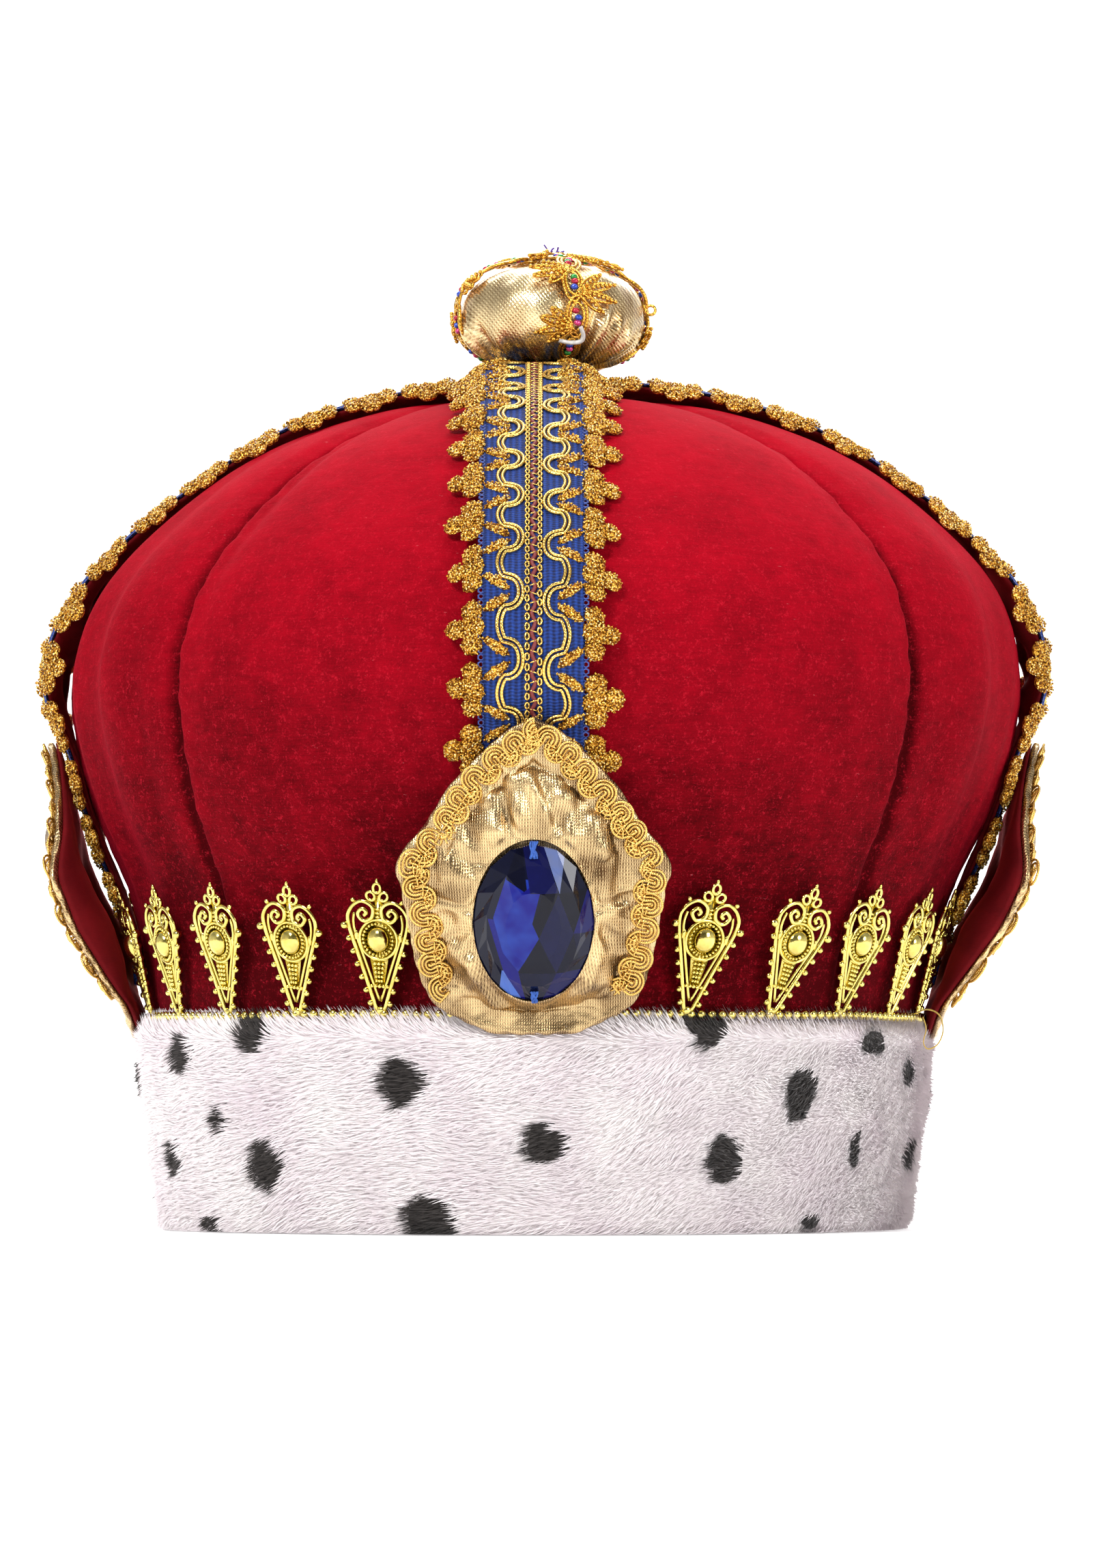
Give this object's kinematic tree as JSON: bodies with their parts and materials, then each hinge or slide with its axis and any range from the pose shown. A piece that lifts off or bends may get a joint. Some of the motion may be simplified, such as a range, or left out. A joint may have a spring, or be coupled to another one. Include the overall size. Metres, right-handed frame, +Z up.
{
  "type": "costume crown",
  "caption": "Soft costume crown: puffed red velvet cap in a spotted white plush band, lace straps under a padded gold ball, padded gold shields, a blue oval stone and a pierced gilt drop trim.",
  "frame": {"origin": "centre of the head opening, in the plane of the plush band's lower edge, on the surface that the crown rests on", "axes": "+Z is up; -Y is the front, where the shield with the stone is; +X is the viewer's right when the front is seen"},
  "size_m": [0.2671, 0.2672, 0.2581],
  "materials": {
    "plush": "white short-pile plush with dark spots",
    "velvet": "crimson velvet, soft sheen",
    "satin": "wine red satin lining",
    "blue_braid": "royal blue knitted braid with gold lace edging",
    "gold_lame": "gold lame cloth, metallic sheen",
    "gold_cord": "metallic gold cord",
    "gilt_plastic": "vacuum-plated yellow gold plastic",
    "blue_stone": "deep blue faceted acrylic, polished"
  },
  "bodies": {
    "root": {"fur_band": "plush", "velvet_cap": "velvet", "strap_satin_front_back": "satin", "strap_satin_left_right": "satin", "braid_front_back": "blue_braid", "braid_left_right": "blue_braid", "ball": "gold_lame", "ball_trim_front_back": "gold_cord", "ball_trim_left_right": "gold_cord", "filigree_trim": "gilt_plastic", "shield_front": "gold_lame", "shield_right": "gold_lame", "shield_back": "gold_lame", "shield_left": "gold_lame", "shield_satin_front": "satin", "shield_satin_right": "satin", "shield_satin_back": "satin", "shield_satin_left": "satin", "gimp_front": "gold_cord", "gimp_right": "gold_cord", "gimp_back": "gold_cord", "gimp_left": "gold_cord", "stone": "blue_stone"}
  },
  "joints": []
}
